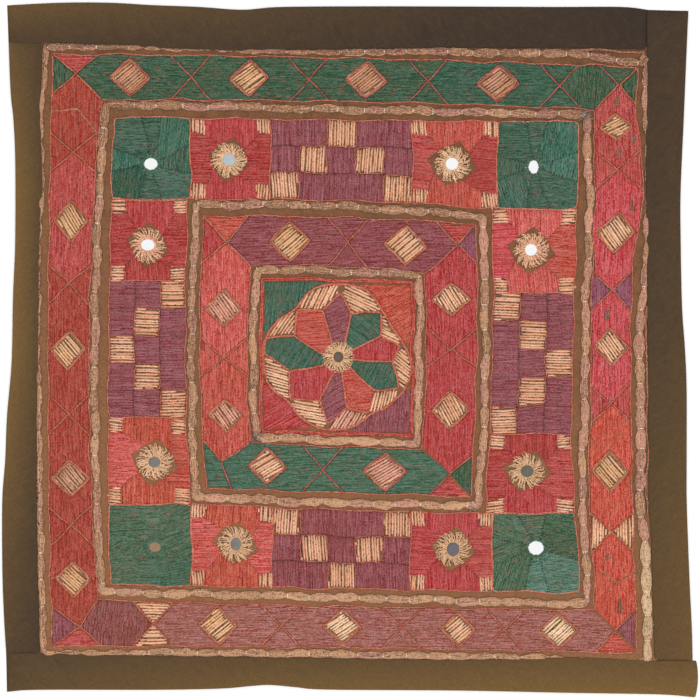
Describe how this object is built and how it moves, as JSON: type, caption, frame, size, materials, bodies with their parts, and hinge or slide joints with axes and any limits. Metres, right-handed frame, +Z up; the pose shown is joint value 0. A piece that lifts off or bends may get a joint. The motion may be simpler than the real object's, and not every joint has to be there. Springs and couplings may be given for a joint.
{
  "type": "embroidered tablecloth",
  "caption": "Square cotton table cover with nested bands of stitched diamonds and checks, couched cord frames, small round mirrors and a dark hemmed border.",
  "frame": {"origin": "middle of the cloth's outline, on the surface that it lies on", "axes": "+Z up from the surface, +Y towards the top edge of the design, +X to its right"},
  "size_m": [0.6941, 0.6943, 0.0047],
  "materials": {
    "ground_cotton": "matte plain weave",
    "border_cotton": "matte plain weave, faded",
    "cord_yarn": "matte soft yarn",
    "green_thread": "soft sheen floss",
    "red_thread": "soft sheen floss",
    "coral_thread": "soft sheen floss",
    "crimson_thread": "soft sheen floss",
    "purple_thread": "soft sheen floss",
    "cream_thread": "matte cotton thread",
    "mirror_glass": "tarnished silvered glass"
  },
  "bodies": {
    "root": {"ground_panel": "ground_cotton", "border_top": "border_cotton", "border_right": "border_cotton", "border_bottom": "border_cotton", "border_left": "border_cotton", "cord_outer": "cord_yarn", "cord_second": "cord_yarn", "cord_third": "cord_yarn", "cord_centre": "cord_yarn", "outer_band_top": "green_thread", "outer_band_right": "red_thread", "outer_band_bottom": "purple_thread", "outer_band_left": "red_thread", "inner_band_top": "purple_thread", "inner_band_right": "crimson_thread", "inner_band_bottom": "green_thread", "inner_band_left": "coral_thread", "corner_square_top_left": "green_thread", "corner_square_top_right": "green_thread", "corner_square_bottom_right": "green_thread", "corner_square_bottom_left": "green_thread", "mirror_square_top_left": "red_thread", "mirror_square_top_right": "red_thread", "mirror_square_right_upper": "red_thread", "mirror_square_right_lower": "red_thread", "mirror_square_bottom_left": "red_thread", "mirror_square_bottom_right": "red_thread", "mirror_square_left_upper": "red_thread", "mirror_square_left_lower": "red_thread", "check_block_top": "purple_thread", "check_block_right": "purple_thread", "check_block_bottom": "purple_thread", "check_block_left": "purple_thread", "centre_medallion": "coral_thread", "mirror_corner_top_left": "mirror_glass", "mirror_corner_top_right": "mirror_glass", "mirror_corner_bottom_right": "mirror_glass", "mirror_corner_bottom_left": "mirror_glass", "mirror_top_left": "mirror_glass", "mirror_top_right": "mirror_glass", "mirror_right_upper": "mirror_glass", "mirror_right_lower": "mirror_glass", "mirror_bottom_left": "mirror_glass", "mirror_bottom_right": "mirror_glass", "mirror_left_upper": "mirror_glass", "mirror_left_lower": "mirror_glass", "mirror_centre": "mirror_glass", "rosette_top_left": "cream_thread", "rosette_top_right": "cream_thread", "rosette_right_upper": "cream_thread", "rosette_right_lower": "cream_thread", "rosette_bottom_left": "cream_thread", "rosette_bottom_right": "cream_thread", "rosette_left_upper": "cream_thread", "rosette_left_lower": "cream_thread", "rosette_centre": "cream_thread"}
  },
  "joints": []
}
